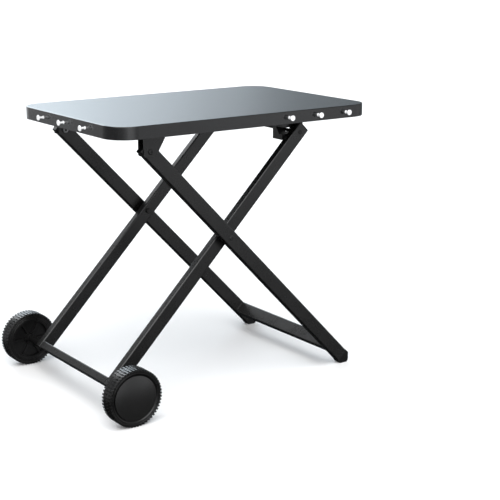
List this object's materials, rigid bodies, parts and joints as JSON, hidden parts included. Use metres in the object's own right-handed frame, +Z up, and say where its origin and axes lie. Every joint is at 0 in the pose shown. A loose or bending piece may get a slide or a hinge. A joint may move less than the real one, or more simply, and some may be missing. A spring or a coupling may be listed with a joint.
{
  "type": "folding grooming table",
  "caption": "Folding wheeled table: rounded sheet-metal top with a skirt and hanging pegs, on a scissor frame of box-tube legs with two wheels, two feet and hooked rod.",
  "frame": {"origin": "on the floor, at the middle of the footprint (the bounding box's bottom centre)", "axes": "+X along the table towards the feet, away from the wheels; +Y towards the left-hand wheel, away from the long edge with pegs; +Z up"},
  "size_m": [0.8128, 0.594, 0.7],
  "materials": {
    "top_coat": "satin charcoal enamel",
    "frame_coat": "satin black powder coat",
    "black_plastic": "moulded black plastic",
    "gloss_cap": "semi-gloss black plastic",
    "tyre": "black tread compound",
    "chrome_peg": "bright plated",
    "zinc": "zinc plated",
    "black_steel": "black oxide",
    "nylon": "dark nylon"
  },
  "bodies": {
    "wheel_frame": {"wheel_leg_left": "frame_coat", "wheel_leg_right": "frame_coat", "wheel_leg_plugs": "black_plastic", "axle_crossbar": "frame_coat", "top_rod": "black_steel", "pivot_bolts": "black_steel", "pivot_washers": "nylon", "pivot_spacers": "nylon", "pivot_nuts": "black_steel", "axle": "zinc", "axle_spacers": "black_plastic", "axle_washers": "zinc", "axle_caps": "zinc"},
    "foot_frame": {"foot_leg_left": "frame_coat", "foot_leg_right": "frame_coat", "foot_leg_plugs": "black_plastic", "foot_crossbar": "frame_coat", "foot_cap_left": "black_plastic", "foot_cap_right": "black_plastic"},
    "tabletop": {"tabletop_pan": "top_coat", "hinge_rail": "frame_coat", "hook_rail": "frame_coat", "hinge_bracket_left": "frame_coat", "hinge_bracket_right": "frame_coat", "hook_bracket_left": "frame_coat", "hook_bracket_right": "frame_coat", "bracket_screws": "zinc", "side_pegs": "chrome_peg", "end_pegs": "chrome_peg", "peg_nuts": "zinc", "hinge_bolts": "black_steel", "hinge_nuts": "zinc", "hinge_washers": "nylon"},
    "wheel_left": {"tyre_left": "tyre", "wheel_rim_left": "black_plastic", "hubcap_left": "gloss_cap"},
    "wheel_right": {"tyre_right": "tyre", "wheel_rim_right": "black_plastic", "hubcap_right": "gloss_cap"}
  },
  "joints": [
    {"name": "leg_fold", "type": "hinge", "parent": "wheel_frame", "child": "foot_frame", "pos_m": [-0.01497, 0, 0.39594], "axis": [0, -1, 0], "range_deg": [0, 91.5]},
    {"name": "top_fold", "type": "hinge", "parent": "foot_frame", "child": "tabletop", "pos_m": [-0.2431, 0, 0.633], "axis": [0, 1, 0], "range_deg": [0, 46.15]},
    {"name": "wheel_left_spin", "type": "hinge", "parent": "wheel_frame", "child": "wheel_left", "pos_m": [-0.3359, 0.274, 0.0705], "axis": [0, 1, 0], "continuous": true},
    {"name": "wheel_right_spin", "type": "hinge", "parent": "wheel_frame", "child": "wheel_right", "pos_m": [-0.3359, -0.274, 0.0705], "axis": [0, 1, 0], "continuous": true}
  ],
  "couplings": [
    {"joint": "top_fold", "follows": "leg_fold", "ratio": 0.50382}
  ]
}
